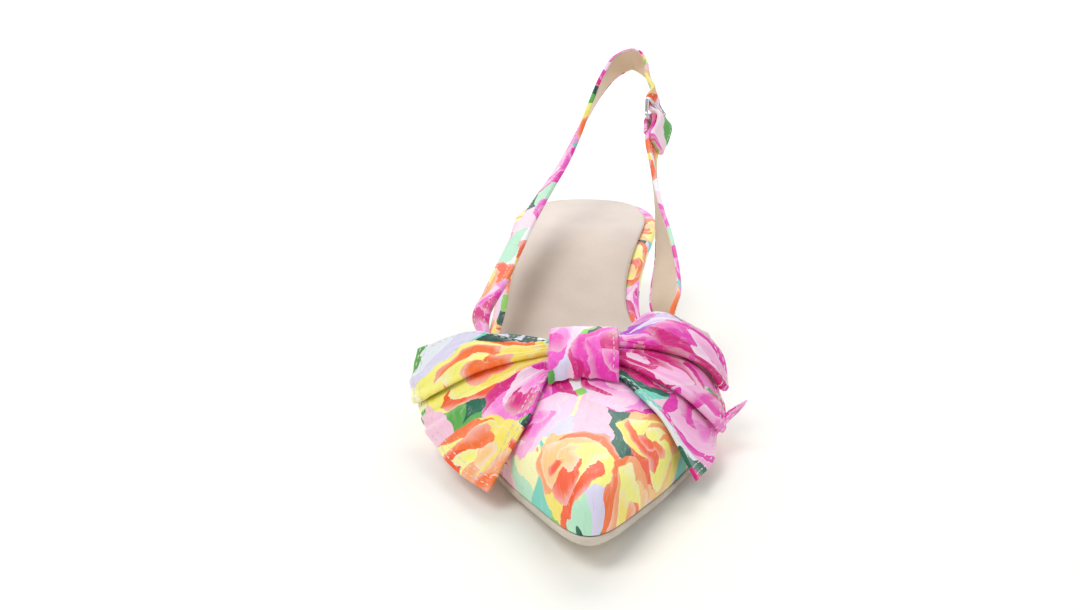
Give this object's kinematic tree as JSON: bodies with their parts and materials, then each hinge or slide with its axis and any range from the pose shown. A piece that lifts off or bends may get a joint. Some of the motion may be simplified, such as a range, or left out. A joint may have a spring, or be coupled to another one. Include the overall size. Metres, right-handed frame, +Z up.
{
  "type": "slingback shoe",
  "caption": "Pointed slingback shoe in floral satin with a pleated ribbon bow, a buckled heel strap and a low kitten heel.",
  "frame": {"origin": "middle of the heel tip's flat face on the floor", "axes": "+Z up from the floor, -Y from the heel towards the toe tip, +X to the right of someone who faces the toe"},
  "size_m": [0.0943, 0.2555, 0.1],
  "materials": {
    "printed_fabric": "satin with a painterly floral print",
    "lining": "smooth matte tan",
    "outsole_sheet": "matte beige",
    "top_lift": "matte",
    "silver": "polished"
  },
  "bodies": {
    "root": {"bow_knot": "printed_fabric", "bow_wing_left": "printed_fabric", "bow_wing_right": "printed_fabric", "buckle_frame": "silver", "buckle_prong": "silver", "footbed": "printed_fabric", "heel": "printed_fabric", "insole_sock": "lining", "outsole": "outsole_sheet", "strap_long": "printed_fabric", "strap_short": "printed_fabric", "top_lift": "top_lift", "upper": "printed_fabric"}
  },
  "joints": []
}
